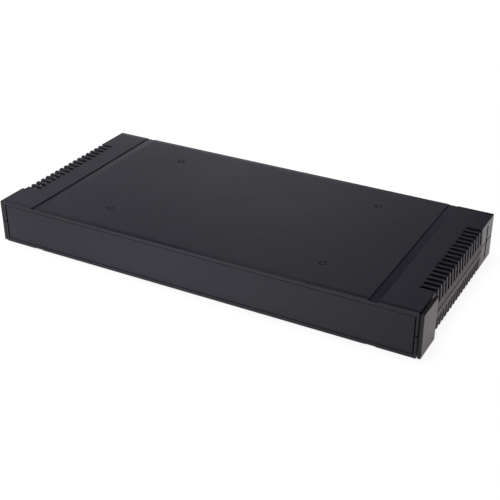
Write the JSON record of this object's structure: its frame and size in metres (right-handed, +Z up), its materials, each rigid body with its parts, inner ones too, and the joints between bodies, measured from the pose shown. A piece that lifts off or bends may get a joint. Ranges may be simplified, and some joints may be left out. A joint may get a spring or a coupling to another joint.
{
  "type": "rack mount enclosure",
  "caption": "Low, wide rack mount enclosure of mating half shells, with slide-in end panels, vent slots wrapped round its side edges, and flat side ears.",
  "frame": {"origin": "middle of the footprint, on the plane of the underside", "axes": "+X along the width to the right-hand side seen from the front, +Y from the front panel towards the rear panel, +Z up"},
  "size_m": [0.4422, 0.204, 0.044],
  "materials": {
    "shell_plastic": "fine spark texture, black",
    "panel_plastic": "fine satin, black",
    "ear_plastic": "fine satin, black",
    "screw_steel": "black zinc",
    "insert_brass": "plain turned"
  },
  "bodies": {
    "root": {"top_shell": "shell_plastic", "bottom_shell": "shell_plastic", "front_panel": "panel_plastic", "rear_panel": "panel_plastic", "side_ear_left": "ear_plastic", "side_ear_right": "ear_plastic", "case_screw_1": "screw_steel", "case_screw_2": "screw_steel", "case_screw_3": "screw_steel", "case_screw_4": "screw_steel", "threaded_insert_1": "insert_brass", "threaded_insert_2": "insert_brass", "threaded_insert_3": "insert_brass", "threaded_insert_4": "insert_brass"}
  },
  "joints": []
}
